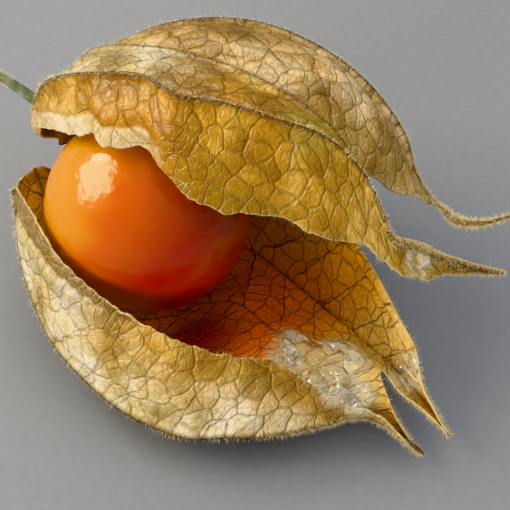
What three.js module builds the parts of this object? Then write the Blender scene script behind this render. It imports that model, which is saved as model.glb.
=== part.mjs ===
// A physalis berry in its papery husk, laid on its side as picked, in millimetres.
// +X runs along the husk from the stalk to the tips, +Z is up, and the origin is on the
// resting surface straight below the middle of the berry.
import * as THREE from "three";

// Driving dimensions
const BERRY_DIAMETER = 18;
const BERRY_CENTRE = new THREE.Vector3(0, 0, 10.4);
const DIMPLE_DEPTH = 0.7;
const DIMPLE_RADIUS = 2.6;

const PAPER = 0.6; // thickness of the husk wall
const KEEL_RISE = 0.55; // ridge along the middle of each lobe
const RIB_RISE = 0.3; // lower ridge between two lobes
const VEIN_RISE = 0.2; // side veins and the links of the net
const VEIN_ROWS = 3; // a side vein on every third row
const ROWS = 48; // steps from the stalk end to the tips
const ACROSS = [0, 0.1, 0.36, 0.64, 0.9, 1]; // columns of a half lobe, from keel to rib
const SKIN_DEPTH = 0.3; // the outer face lies this far inside the lines, so keels stand on them
const TIP_HALF_WIDTH = 0.3;
const PRESSED_FLAT = 0.4; // what would hang this close over the resting surface lies on it

const STALK_RADIUS = 0.36;
const STALK_ROOT_RADIUS = 0.5; // where the husk closes round it
const RECEPTACLE_RADIUS = 1.5; // the little disc that the berry grew on
const FIT_GAP = 0.35; // clear space between neighbouring pieces
const COLLAR_RADIUS = STALK_ROOT_RADIUS + FIT_GAP + PAPER + SKIN_DEPTH;

const COLLAR_CENTRE = new THREE.Vector3(-13.3, 1.2, 14.6);
const STALK_AXIS = new THREE.Vector3(0.73, 0.32, -0.6).normalize(); // inwards at the collar

// A point on the round hole at the husk's stalk end. 0 degrees faces -Y, 90 degrees is up.
const collarUp = new THREE.Vector3(0, 0, 1).projectOnPlane(STALK_AXIS).normalize();
const collarFront = new THREE.Vector3().crossVectors(STALK_AXIS, collarUp);
function collar(degrees) {
  const turn = THREE.MathUtils.degToRad(degrees);
  return COLLAR_CENTRE.clone()
    .addScaledVector(collarFront, COLLAR_RADIUS * Math.cos(turn))
    .addScaledVector(collarUp, COLLAR_RADIUS * Math.sin(turn))
    .toArray();
}

const COLLAR_ANGLES = { front: 20, frontTop: 60, top: 95, topBack: 130, back: 170 };
const UNDERSIDE_BULGE = 0.8;

// The lines that the husk hangs on. Each keel runs from the collar, or from the torn rim of
// the lower half, to the tip of its lobe.
const KEELS = {
  front: [
    collar(COLLAR_ANGLES.front), [-11.6, 0.5, 18], [-9.9, 0.6, 20], [-6.7, 0.5, 22.5], [-1.1, 1.4, 25],
    [2.7, 1, 25.4], [6, 2.7, 25.2], [10.4, 4.5, 24.4], [14, 6.3, 23], [17.6, 6.5, 21],
    [20.8, 5.4, 18.8], [22.1, 4.7, 17.2], [23.4, 5.9, 15.8], [25.7, 7.5, 14.2], [29.7, 10.5, 12.5],
  ],
  top: [
    collar(COLLAR_ANGLES.top), [-11.7, 4.9, 16], [-9.4, 8.4, 18], [-6.1, 12.2, 19.5], [-0.8, 15.9, 19.8],
    [4.6, 17.6, 19], [10.2, 17.6, 17.8], [15.7, 15.6, 16.5], [18.9, 13, 15.5],
    [21.2, 12, 15.3], [24.6, 10.4, 16.2], [26.8, 10.5, 17.2], [29.2, 11.8, 18.5],
  ],
  back: [
    collar(COLLAR_ANGLES.back), [-11, 6, 9], [-7.5, 10.5, 6.2], [-2, 14.5, 5.2], [5, 16.5, 5.2],
    [11, 15.5, 6], [13, 14.5, 7.3], [14.8, 12.5, 9.2], [15.6, 10.2, 11], [15, 7.5, 12.5],
  ],
  under: [
    [-11.7, 2, 6], [-10.4, 3.8, 3.6], [-8.3, 4.6, 2.2], [-1.6, 6.3, 1], [5, 7.9, 0.8],
    [10.6, 7, 1], [15.2, 5.9, 1.4], [20.7, 4.4, 1.8], [25.8, 3, 2.2], [31.7, 0.4, 2.5],
  ],
  low: [
    [-11.4, -4.6, 9.2], [-9.3, -6.7, 7.5], [-6.8, -9, 5.8], [-1.3, -12.4, 4.3], [3.9, -14, 3.8],
    [9.3, -14.7, 3.8], [14.5, -13.9, 4], [17.4, -11.7, 4], [19.6, -10.1, 4], [22.7, -6, 3.6],
    [24.8, -2.5, 3], [26.5, -1.9, 2.6], [28.3, -2.1, 2.3], [30.6, -2.4, 2],
  ],
};

// The ribs between the lobes run from the stalk end to the notch between two tips, which they
// reach at the given share of the rows.
const RIBS = {
  frontTop: {
    notchRow: 32,
    line: [
      collar(COLLAR_ANGLES.frontTop), [-11.1, 2.5, 17.5], [-9.7, 5, 20], [-4.2, 7, 22], [-0.7, 8, 22.4],
      [3.6, 8.9, 22.4], [8.8, 9.3, 21.9], [13.2, 9.2, 20.6], [16.7, 7.9, 19.1],
    ],
  },
  topBack: {
    notchRow: 32,
    line: [
      collar(COLLAR_ANGLES.topBack), [-11.5, 6.5, 12.8], [-7.5, 12, 12.6], [-1, 16.8, 12.5],
      [6, 18.3, 12.2], [11, 17, 12], [15, 15, 12.5],
    ],
  },
  backUnder: {
    notchRow: 32,
    line: [
      [-11, 1.8, 9.5], [-9.8, 6.4, 6], [-4, 10.5, 2.8], [3, 12.2, 2], [9, 12.2, 2.8],
      [15.5, 10.4, 6.5],
    ],
  },
  underLow: {
    notchRow: 39,
    line: [
      [-12.7, -0.5, 7.6], [-10.5, -1.2, 4], [-7, -1.2, 0.9], [-3, -0.6, -0.1], [4, 0.2, -0.1],
      [8.6, 1.2, 2.2], [13.7, -0.3, 3.8], [16.5, -0.3, 4.6], [20.5, 0.5, 4.8], [24, 1, 4.4],
    ],
  },
};

// Free edges: the margins of the lobes past the notches, and the two torn edges. A margin
// leaves its last point out, because it ends beside the tip of its keel.
const MARGINS = {
  frontUpper: [
    [19.9, 6.1, 18.8], [22.4, 4.9, 17.6], [23.6, 5.7, 16.8], [25.1, 6.8, 15.4], [27.5, 8.8, 13.9],
  ],
  topFront: [
    [17.7, 9.1, 18], [18.7, 9.5, 17], [19.7, 10.3, 16.3], [20.7, 11.3, 15.6], [21.6, 11.6, 14.9],
    [24.4, 10, 15.8], [26.9, 10.2, 16.8],
  ],
  topRear: [[17.5, 13.8, 13.8], [20.8, 12.7, 14.8], [24.6, 10.9, 16.5], [26.8, 10.9, 17.5]],
  backUpper: [[14.2, 12, 11.4], [15.5, 9.8, 12.5]],
  backLower: [[15.8, 9.4, 8.6], [15.6, 8.4, 10.6]],
  underBack: [[18.1, 9, 6.6], [23, 6.1, 6.2], [26.1, 4.4, 5.2], [28, 2.4, 4.2], [29.4, 1.8, 3.4]],
  underFront: [[26.2, 0.5, 3.6], [28.2, 0.6, 3], [30.4, 0.4, 2.5]],
  lowBack: [[25.5, -0.1, 4], [27.1, -0.9, 3.4], [28.8, -1.5, 2.7]],
};
const TORN_EDGES = {
  flap: [
    [-11.1, -1.5, 15], [-7.3, -2.7, 17.6], [-4.5, -3.3, 19.6], [-3.6, -3, 20.4], [-2.3, -3.9, 20.7],
    [-0.9, -3.9, 21], [1.8, -2.5, 21.4], [3.8, -3.3, 21.2], [7.9, -4.1, 20.6], [9.4, -3.6, 20.2],
    [11.7, -2.3, 19.6], [13.9, -0.4, 19.3], [17.1, 0.4, 18.3], [19.4, 1.8, 17.6], [20.8, 3, 17],
    [22.1, 3.1, 15.8], [24, 3.8, 14.5], [25.5, 5.5, 13.8], [26.8, 7.4, 13.3],
  ],
  cup: [
    [-11.4, -4.7, 9.5], [-7.8, -6.9, 11.6], [-5.3, -8.5, 12.2], [-2.4, -9.9, 12.1],
    [2.7, -10.7, 11.3], [7.7, -10.4, 10.4], [12, -9.1, 9.6], [15.5, -6.9, 8.6], [17.1, -5.4, 8],
    [20, -4.8, 7], [23.7, -3.8, 5.2], [26.7, -2.6, 3.9], [28.6, -2.6, 3.1],
  ],
};

// The way across each tip, in which its narrow end lies flat.
const TIP_SIDES = {
  front: [0.1, 0.25, 0.96],
  top: [0.2, -0.5, -0.84],
  back: [0.6, 0.3, 0.74],
  under: [0.2, 0.9, 0.38],
  low: [-0.2, -0.6, 0.77],
};

const curveOf = (points) =>
  new THREE.CatmullRomCurve3(points.map((p) => new THREE.Vector3(...p)), false, "centripetal");

// Evenly spaced points along a smooth curve.
const spaced = (points, steps) => curveOf(points).getSpacedPoints(steps);

// The end of a margin or a torn edge, beside the tip of its keel.
function besideTip(keel, side) {
  const tip = new THREE.Vector3(...KEELS[keel].at(-1));
  const across = new THREE.Vector3(...TIP_SIDES[keel]).normalize();
  return tip.addScaledVector(across, side * TIP_HALF_WIDTH).toArray();
}

// A rib down to its notch, and from there the margin of one of its two lobes.
function ribThenMargin(rib, margin, keel, side) {
  const { notchRow, line } = RIBS[rib];
  const edge = [line.at(-1), ...MARGINS[margin], besideTip(keel, side)];
  return [...spaced(line, notchRow), ...spaced(edge, ROWS - notchRow).slice(1)];
}

// The ten half lobes in order round the husk, from the torn edge over the berry, over the top
// and the back and under the berry to the other torn edge. Each spans from a keel to its outer line.
// bulge is the height of its crown over its width, and before is true where the outer line
// comes before the keel in that order.
const keelLines = Object.fromEntries(
  Object.entries(KEELS).map(([name, points]) => [name, spaced(points, ROWS)]),
);
const tornFlap = spaced([...TORN_EDGES.flap, besideTip("front", -1)], ROWS);
const tornCup = spaced([...TORN_EDGES.cup, besideTip("low", 1)], ROWS);
const HALF_LOBES = [
  { keel: "front", outer: tornFlap, before: true, bulge: 0.1, ribRows: 0 },
  { keel: "front", outer: ribThenMargin("frontTop", "frontUpper", "front", 1), bulge: 0.06, ribRows: 32 },
  {
    keel: "top", outer: ribThenMargin("frontTop", "topFront", "top", 1),
    before: true, bulge: 0.12, ribRows: 32,
  },
  { keel: "top", outer: ribThenMargin("topBack", "topRear", "top", -1), bulge: 0.12, ribRows: 32 },
  {
    keel: "back", outer: ribThenMargin("topBack", "backUpper", "back", 1),
    before: true, bulge: 0.1, ribRows: 32,
  },
  { keel: "back", outer: ribThenMargin("backUnder", "backLower", "back", -1), bulge: 0.1, ribRows: 32 },
  {
    keel: "under", outer: ribThenMargin("backUnder", "underBack", "under", 1),
    before: true, bulge: 0.08, ribRows: 32,
  },
  {
    keel: "under", outer: ribThenMargin("underLow", "underFront", "under", -1),
    bulge: 0.03, ribRows: 39,
  },
  {
    keel: "low", outer: ribThenMargin("underLow", "lowBack", "low", -1),
    before: true, bulge: 0.04, ribRows: 39,
  },
  { keel: "low", outer: tornCup, bulge: 0.14, ribRows: 0 },
];

// How far a vertex of a half lobe stands out of the paper: keel, rib, side veins and the
// links that join them into a net.
function relief(row, column, ribRows) {
  const last = ACROSS.length - 1;
  if (column === 0) return KEEL_RISE;
  if (column === last) return row < ribRows ? RIB_RISE : 0;
  if (row % VEIN_ROWS === 0) return VEIN_RISE;
  const linkColumn = Math.floor(row / VEIN_ROWS) % 2 ? 2 : 3;
  return column === linkColumn ? VEIN_RISE : 0;
}

// A triangulated sheet. Points that fall together are one vertex.
class Sheet {
  points = [];
  rises = [];
  triangles = [];
  #index = new Map();

  vertex(point, rise) {
    const key = point.toArray().map((v) => v.toFixed(4)).join();
    if (!this.#index.has(key)) {
      this.#index.set(key, this.points.length);
      this.points.push(point);
      this.rises.push(rise);
    }
    return this.#index.get(key);
  }

  quad(a, b, c, d) {
    for (const corner of [[a, b, c], [a, c, d]]) {
      if (new Set(corner).size === 3) this.triangles.push(corner);
    }
  }

  normals() {
    const normals = this.points.map(() => new THREE.Vector3());
    const face = new THREE.Triangle();
    const normal = new THREE.Vector3();
    for (const corners of this.triangles) {
      face.set(...corners.map((i) => this.points[i]));
      face.getNormal(normal);
      corners.forEach((i) => normals[i].addScaledVector(normal, face.getArea()));
    }
    return normals.map((n) => n.normalize());
  }

  // The sheet as a closed solid with the same triangles on both faces, flattened where it rests.
  thicken(thickness) {
    const normals = this.normals();
    const outer = this.points.map((p, i) =>
      p.clone().addScaledVector(normals[i], this.rises[i] - SKIN_DEPTH),
    );
    const inner = this.points.map((p, i) =>
      p.clone().addScaledVector(normals[i], -thickness - SKIN_DEPTH),
    );
    outer.forEach((p) => (p.z = p.z < PRESSED_FLAT ? 0 : p.z));
    inner.forEach((p) => (p.z = Math.max(p.z, thickness)));
    const count = this.points.length;
    const directed = new Set(
      this.triangles.flatMap(([a, b, c]) => [`${a},${b}`, `${b},${c}`, `${c},${a}`]),
    );
    const index = [];
    for (const [a, b, c] of this.triangles) {
      index.push(a, b, c, count + c, count + b, count + a);
      for (const [from, to] of [[a, b], [b, c], [c, a]]) {
        if (directed.has(`${to},${from}`)) continue;
        index.push(to, from, count + from, to, count + from, count + to);
      }
    }
    const positions = [...outer, ...inner].flatMap((p) => p.toArray());
    const geometry = new THREE.BufferGeometry();
    geometry.setAttribute("position", new THREE.Float32BufferAttribute(positions, 3));
    geometry.setIndex(index);
    return geometry;
  }
}

// The husk grew as one piece of paper-thin tissue: ten half lobes joined along five keels and
// four whole ribs, and closed round the stalk.
function buildHusk() {
  const sheet = new Sheet();
  const rowStarts = [];
  for (const { keel, outer, before = false, bulge, ribRows } of HALF_LOBES) {
    const inner = keelLines[keel];
    const grid = [];
    for (let row = 0; row <= ROWS; row++) {
      const along = new THREE.Vector3().subVectors(
        inner[Math.min(row + 1, ROWS)],
        inner[Math.max(row - 1, 0)],
      );
      const across = new THREE.Vector3().subVectors(outer[row], inner[row]);
      const outward = new THREE.Vector3().crossVectors(along, across).normalize();
      if (before) outward.negate();
      const crown = bulge * across.length() * Math.min(1, row / 4);
      grid.push(
        ACROSS.map((w, column) => {
          const point = new THREE.Vector3().lerpVectors(inner[row], outer[row], w);
          point.addScaledVector(outward, crown * Math.sin(Math.PI * w));
          return sheet.vertex(point, relief(row, column, ribRows));
        }),
      );
    }
    rowStarts.push(grid[0]);
    for (let row = 0; row < ROWS; row++) {
      for (let column = 0; column < ACROSS.length - 1; column++) {
        const [a, b] = [grid[row][column], grid[row + 1][column]];
        const [d, c] = [grid[row][column + 1], grid[row + 1][column + 1]];
        if (before) sheet.quad(d, c, b, a);
        else sheet.quad(a, b, c, d);
      }
    }
  }
  closeRoundStalk(sheet, rowStarts[0], rowStarts[5]);
  return sheet.thicken(PAPER);
}

// The underside of the stalk end, from the start of the flap round below the stalk to the
// start of the back lobe. Its lower edge is torn.
function closeRoundStalk(sheet, flapStart, backStart) {
  const STEPS = 6;
  const ARC = COLLAR_ANGLES.back - 360 - COLLAR_ANGLES.front;
  const corners = [flapStart, backStart].map((row) => sheet.points[row.at(-1)]);
  const rows = [flapStart];
  for (let step = 1; step < STEPS; step++) {
    const share = step / STEPS;
    const ring = new THREE.Vector3(...collar(COLLAR_ANGLES.front + ARC * share));
    const outward = new THREE.Vector3().subVectors(ring, COLLAR_CENTRE).normalize();
    const edge = new THREE.Vector3().lerpVectors(...corners, share);
    edge.addScaledVector(outward, UNDERSIDE_BULGE * Math.sin(Math.PI * share));
    rows.push(
      ACROSS.map((w) => {
        const point = new THREE.Vector3().lerpVectors(ring, edge, w);
        const crown = UNDERSIDE_BULGE * Math.sin(Math.PI * w) * Math.sin(Math.PI * share);
        return sheet.vertex(point.addScaledVector(outward, crown), 0);
      }),
    );
  }
  rows.push(backStart);
  for (let step = 0; step < STEPS; step++) {
    for (let column = 0; column < ACROSS.length - 1; column++) {
      sheet.quad(
        rows[step][column],
        rows[step + 1][column],
        rows[step + 1][column + 1],
        rows[step][column + 1],
      );
    }
  }
}

// The fruit: a round berry with a small dimple at its stalk end, turned from a profile.
function buildBerry() {
  const radius = BERRY_DIAMETER / 2;
  const steps = 26;
  const profile = Array.from({ length: steps + 1 }, (_, i) => {
    const turn = (Math.PI * i) / steps;
    const out = i % steps === 0 ? 0 : radius * Math.sin(turn);
    const sunk = turn > Math.PI / 2 ? DIMPLE_DEPTH * Math.exp(-((out / DIMPLE_RADIUS) ** 2) * 2) : 0;
    return new THREE.Vector2(out, -radius * Math.cos(turn) - sunk);
  });
  return new THREE.LatheGeometry(profile, 36);
}

// A round stem along a curve, closed at both ends, with its radius given along it.
function stem(curve, radiusAt, sides, steps) {
  const frames = curve.computeFrenetFrames(steps, false);
  const positions = [];
  const index = [];
  for (let step = 0; step <= steps; step++) {
    const middle = curve.getPointAt(step / steps);
    for (let side = 0; side < sides; side++) {
      const turn = (2 * Math.PI * side) / sides;
      const out = frames.normals[step].clone().multiplyScalar(Math.cos(turn));
      out.addScaledVector(frames.binormals[step], Math.sin(turn));
      positions.push(...middle.clone().addScaledVector(out, radiusAt(step / steps)).toArray());
      if (step === steps) continue;
      const a = step * sides + side;
      const b = step * sides + ((side + 1) % sides);
      index.push(a, b, b + sides, a, b + sides, a + sides);
    }
  }
  for (const [step, flip] of [[0, true], [steps, false]]) {
    for (let side = 1; side < sides - 1; side++) {
      const fan = [step * sides, step * sides + side, step * sides + side + 1];
      index.push(...(flip ? fan.reverse() : fan));
    }
  }
  const geometry = new THREE.BufferGeometry();
  geometry.setAttribute("position", new THREE.Float32BufferAttribute(positions, 3));
  geometry.setIndex(index);
  return geometry;
}

// The stalk comes in from outside through the collar and ends in the receptacle, just short of
// the berry. It thickens where the husk closes round it, at ROOT_AT of its length, and flares
// into the disc from DISC_FROM on.
const ROOT_AT = 0.76;
const ROOT_REACH = 0.3;
const DISC_FROM = 0.86;

function buildStalk() {
  const toBerry = new THREE.Vector3().subVectors(BERRY_CENTRE, COLLAR_CENTRE).normalize();
  const end = BERRY_CENTRE.clone().addScaledVector(toBerry, -(BERRY_DIAMETER / 2 + FIT_GAP));
  const inside = COLLAR_CENTRE.clone().addScaledVector(STALK_AXIS, 1.5);
  const route = new THREE.CatmullRomCurve3([
    new THREE.Vector3(-25.5, -2.6, 19.6),
    new THREE.Vector3(-21, -1.6, 18.9),
    COLLAR_CENTRE.clone().addScaledVector(STALK_AXIS, -3.8),
    COLLAR_CENTRE.clone(),
    inside,
    end,
  ]);
  const radiusAt = (share) => {
    const root = Math.max(0, 1 - Math.abs(share - ROOT_AT) / ROOT_REACH);
    const disc = Math.max(0, (share - DISC_FROM) / (1 - DISC_FROM));
    return (
      STALK_RADIUS +
      (STALK_ROOT_RADIUS - STALK_RADIUS) * root +
      (RECEPTACLE_RADIUS - STALK_RADIUS) * disc ** 2
    );
  };
  return stem(route, radiusAt, 10, 24);
}

const PAPER_GOLD = 0xc9a35a;
const BERRY_ORANGE = 0xe8780a;
const STALK_GREEN = 0x7d8c5f;

function piece(name, geometry, color, roughness) {
  const mesh = new THREE.Mesh(
    geometry,
    new THREE.MeshStandardMaterial({ color, roughness, metalness: 0 }),
  );
  mesh.name = name;
  return mesh;
}

const physalis = new THREE.Group();
physalis.add(piece("husk", buildHusk(), PAPER_GOLD, 0.65));

const berry = piece("berry", buildBerry(), BERRY_ORANGE, 0.18);
berry.position.copy(BERRY_CENTRE);
berry.quaternion.setFromUnitVectors(
  new THREE.Vector3(0, 1, 0),
  new THREE.Vector3().subVectors(COLLAR_CENTRE, BERRY_CENTRE).normalize(),
);
physalis.add(berry);

physalis.add(piece("stalk", buildStalk(), STALK_GREEN, 0.8));

export default physalis;
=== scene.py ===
import math

import bpy
import numpy as np
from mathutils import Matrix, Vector


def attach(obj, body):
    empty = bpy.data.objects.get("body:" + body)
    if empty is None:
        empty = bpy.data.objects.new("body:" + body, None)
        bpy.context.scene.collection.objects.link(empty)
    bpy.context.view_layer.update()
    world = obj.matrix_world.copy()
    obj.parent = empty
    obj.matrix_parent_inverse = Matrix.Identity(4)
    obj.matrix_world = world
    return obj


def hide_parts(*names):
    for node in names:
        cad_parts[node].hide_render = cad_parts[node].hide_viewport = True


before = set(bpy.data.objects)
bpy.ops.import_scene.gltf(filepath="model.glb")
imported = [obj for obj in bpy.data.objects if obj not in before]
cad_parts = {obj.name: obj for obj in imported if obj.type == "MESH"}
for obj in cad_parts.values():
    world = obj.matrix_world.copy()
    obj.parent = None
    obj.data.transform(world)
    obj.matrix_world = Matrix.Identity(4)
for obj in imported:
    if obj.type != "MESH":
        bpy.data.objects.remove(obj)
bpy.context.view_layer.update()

MM = 0.001


# ---------------------------------------------------------------- camera
# A long lens looks down on the berry from its torn side, so that the husk opens towards it.
CAMERA_AZIMUTH = math.radians(36.6)
CAMERA_ELEVATION = math.radians(50)
CAMERA_DISTANCE = 240 * MM
FIELD_WIDTH = 44.1 * MM  # what the camera takes in across, at the berry
SENSOR_WIDTH = 36  # mm
LOOK_AT = Vector((9.29, 3.02, 7.79)) * MM

toward_camera = Vector((
    math.sin(CAMERA_AZIMUTH) * math.cos(CAMERA_ELEVATION),
    -math.cos(CAMERA_AZIMUTH) * math.cos(CAMERA_ELEVATION),
    math.sin(CAMERA_ELEVATION),
))
bpy.ops.object.camera_add(location=LOOK_AT + toward_camera * CAMERA_DISTANCE)
camera = bpy.context.object
camera.name = "camera"
camera.rotation_mode = "QUATERNION"
camera.rotation_quaternion = (-toward_camera).to_track_quat("-Z", "Y")
camera.data.sensor_width = SENSOR_WIDTH
camera.data.lens = SENSOR_WIDTH * CAMERA_DISTANCE / FIELD_WIDTH
camera.data.clip_start = 0.01
camera.data.clip_end = 10
bpy.context.scene.camera = camera


# ---------------------------------------------------------------- floor and light
# A sheet of plain matt card under the fruit. A wide window stands on the left, with a brighter
# pane behind it and a low one before it, a pale wall at the back and a soft ceiling above. The
# low pane and the ceiling are curtained, so that they light the fruit but don't mirror in it.
FLOOR_SIZE = 1.2
CARD_FIBRE = 0.667  # mm, coarser than real pulp fibres, so that the grain shows


def linear(hex_colour):
    """An sRGB hex colour as linear RGBA."""
    channels = [int(hex_colour[i:i + 2], 16) / 255 for i in (1, 3, 5)]
    return (*[c / 12.92 if c <= 0.04045 else ((c + 0.055) / 1.055) ** 2.4 for c in channels], 1)


def add(tree, kind, inputs=None, **settings):
    """A node with its settings, and its inputs set to values or linked to sockets."""
    node = tree.nodes.new(kind)
    for name, value in settings.items():
        setattr(node, name, value)
    for name, value in (inputs or {}).items():
        if isinstance(value, bpy.types.NodeSocket):
            tree.links.new(value, node.inputs[name])
        else:
            node.inputs[name].default_value = value
    return node


def new_material(name):
    """A material with an empty node tree and its output node."""
    material = bpy.data.materials.new(name)
    material.use_nodes = True
    tree = material.node_tree
    tree.nodes.clear()
    return material, tree, tree.nodes.new("ShaderNodeOutputMaterial")


def select_none():
    """Deselects every object, so that an operator reaches only what is added next."""
    for other in bpy.context.selected_objects:
        other.select_set(False)


select_none()
bpy.ops.mesh.primitive_plane_add(size=FLOOR_SIZE, location=(0, 0, 0))
floor = bpy.context.object
floor.name = "floor"

# Uncoated grey card, pressed from pulp: no shine at all, and a faint grain of fibres.
card, tree, output = new_material("matt grey card")
solid = add(tree, "ShaderNodeTexCoord")
fibres = add(tree, "ShaderNodeTexNoise", {
    "Vector": solid.outputs["Object"], "Scale": 1 / (CARD_FIBRE * MM), "Detail": 3})
card_tone = add(tree, "ShaderNodeMixRGB", {
    "Fac": fibres.outputs["Fac"], "Color1": linear("#727478"), "Color2": linear("#7B7D81")})
card_bump = add(tree, "ShaderNodeBump", {
    "Height": fibres.outputs["Fac"], "Strength": 0.15, "Distance": 0.2 * MM})
card_shader = add(tree, "ShaderNodeBsdfPrincipled", {
    "Base Color": card_tone.outputs[0], "Roughness": 0.9, "Normal": card_bump.outputs[0]})
tree.links.new(card_shader.outputs[0], output.inputs[0])
floor.data.materials.append(card)

to_right = Vector((math.cos(CAMERA_AZIMUTH), math.sin(CAMERA_AZIMUTH), 0))
to_back = Vector((-math.sin(CAMERA_AZIMUTH), math.cos(CAMERA_AZIMUTH), 0))


def window(name, right, back, up, width, height, watts, colour):
    """A soft rectangular light, placed in metres from the berry and turned to face it."""
    spot = to_right * right + to_back * back + Vector((0, 0, up))
    bpy.ops.object.light_add(type="AREA", location=spot)
    light = bpy.context.object
    light.name = name
    light.rotation_mode = "QUATERNION"
    light.rotation_quaternion = (Vector((0, 0, 0.01)) - spot).to_track_quat("-Z", "Y")
    light.data.shape = "RECTANGLE"
    light.data.size, light.data.size_y = width, height
    light.data.energy = watts
    light.data.color = linear(colour)[:3]
    return light


window("window", -0.43, 0.07, 0.31, 0.36, 0.33, 3.1, "#FFF2D2")
window("bright pane", -0.30, 0.26, 0.32, 0.14, 0.14, 0.8, "#FFFCF6")
window("pale wall", 0.02, 0.50, 0.40, 0.60, 0.26, 2.0, "#FFFEFC")
for curtained in (
    window("low pane", -0.28, -0.36, 0.13, 0.34, 0.16, 2.2, "#FFFEFC"),
    window("ceiling", 0.25, -0.10, 0.75, 1.0, 1.0, 5.4, "#FAFBFF"),
):
    curtained.visible_glossy = False
# This view transform keeps the strong orange of the berry from turning to peach.
bpy.context.scene.view_settings.view_transform = "Khronos PBR Neutral"
world = bpy.data.worlds.new("studio")
bpy.context.scene.world = world
world.use_nodes = True
room_light = world.node_tree.nodes["Background"].inputs
room_light["Color"].default_value = linear("#F5F4F2")
room_light["Strength"].default_value = 0.3


# ---------------------------------------------------------------- husk
# The calyx: dry leaf tissue as thin as paper, grown as five lobes round the berry and torn
# open on one side. Keels run down the middle of the lobes and lower ribs between them.
# Places and sizes are in mm.
ROWS = 156  # steps from the stalk end to the tips
COLUMNS = 30  # steps from a keel to the outer line of a half lobe
SKIN_DEPTH = 0.3  # how far the paper's outer face lies below the drawn surface
PAPER = 0.2
TIP_HALF_WIDTH = 0.25
COLLAR_RADIUS = 1.0
COLLAR_CENTRE = np.array((-13.3, 1.2, 14.6))
STALK_AXIS = np.array((0.73, 0.32, -0.6)) / np.linalg.norm((0.73, 0.32, -0.6))
BERRY_CENTRE = np.array((0, 0, 10.4))

collar_up = np.array((0, 0, 1)) - STALK_AXIS * STALK_AXIS[2]
collar_up /= np.linalg.norm(collar_up)
collar_front = np.cross(STALK_AXIS, collar_up)


def collar(degrees):
    """A point on the round hole at the stalk end. 0 degrees faces -Y, 90 degrees is up."""
    turn = math.radians(degrees)
    outward = math.cos(turn) * collar_front + math.sin(turn) * collar_up
    return COLLAR_CENTRE + COLLAR_RADIUS * outward


# The keels, from the stalk to the tips.
KEELS = {
    "front": [
        collar(20), (-11.6, 0.5, 18), (-9.9, 0.6, 20), (-6.7, 0.5, 22.5), (-1.1, 1.4, 25),
        (2.7, 1, 25.4), (6, 2.7, 25.2), (10.4, 4.5, 24.4), (14, 6.3, 23), (17.6, 6.5, 21),
        (20.8, 5.4, 18.8), (22.1, 4.7, 17.2), (23.4, 5.9, 15.8), (25.7, 7.5, 14.2),
        (29.7, 10.5, 12.5),
    ],
    "top": [
        collar(95), (-11.7, 4.9, 16), (-9.4, 8.4, 18), (-6.1, 12.2, 19.5), (-0.8, 15.9, 19.8),
        (4.6, 17.6, 19), (10.2, 17.6, 17.8), (15.7, 15.6, 16.5), (18.9, 13, 15.5),
        (21.2, 12, 15.3), (24.6, 10.4, 16.2), (26.8, 10.5, 17.2), (29.2, 11.8, 18.5),
    ],
    "back": [
        collar(170), (-11, 6, 9), (-7.5, 10.5, 6.2), (-2, 14.5, 5.2), (5, 16.5, 5.2),
        (11, 15.5, 6), (13, 14.5, 7.3), (14.8, 12.5, 9.2), (15.6, 10.2, 11), (15, 7.5, 12.5),
    ],
    "under": [
        (-11.7, 2, 6), (-10.4, 3.8, 3.6), (-8.3, 4.6, 2.2), (-1.6, 6.3, 1), (5, 7.9, 0.8),
        (10.6, 7, 1), (15.2, 5.9, 1.4), (20.7, 4.4, 1.8), (25.8, 3, 2.2), (31.7, 0.4, 2.5),
    ],
    "low": [
        (-11.4, -4.6, 9.2), (-9.3, -6.7, 7.5), (-6.8, -9, 5.8), (-1.3, -12.4, 4.3),
        (3.9, -14, 3.8), (9.3, -14.7, 3.8), (14.5, -13.9, 4), (17.4, -11.7, 4),
        (19.6, -10.1, 4), (22.7, -6, 3.6), (24.8, -2.5, 3), (26.5, -1.9, 2.6),
        (28.3, -2.1, 2.3), (30.6, -2.4, 2),
    ],
}
# The ribs, each with the share of a half lobe's length that it runs along before its notch.
RIBS = {
    "front_top": (2 / 3, [
        collar(60), (-11.1, 2.5, 17.5), (-9.7, 5, 20), (-4.2, 7, 22), (-0.7, 8, 22.4),
        (3.6, 8.9, 22.4), (8.8, 9.3, 21.9), (13.2, 9.2, 20.6), (16.7, 7.9, 19.1),
    ]),
    "top_back": (2 / 3, [
        collar(130), (-11.5, 6.5, 12.8), (-7.5, 12, 12.6), (-1, 16.8, 12.5), (6, 18.3, 12.2),
        (11, 17, 12), (15, 15, 12.5),
    ]),
    "back_under": (2 / 3, [
        (-11, 1.8, 9.5), (-9.8, 6.4, 6), (-4, 10.5, 2.8), (3, 12.2, 2), (9, 12.2, 2.8),
        (15.5, 10.4, 6.5),
    ]),
    "under_low": (13 / 16, [
        (-12.7, -0.5, 7.6), (-10.5, -1.2, 4), (-7, -1.2, 0.9), (-3, -0.6, -0.1),
        (4, 0.2, -0.1), (8.6, 1.2, 2.2), (13.7, -0.3, 3.8), (16.5, -0.3, 4.6),
        (20.5, 0.5, 4.8), (24, 1, 4.4),
    ]),
}
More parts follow.
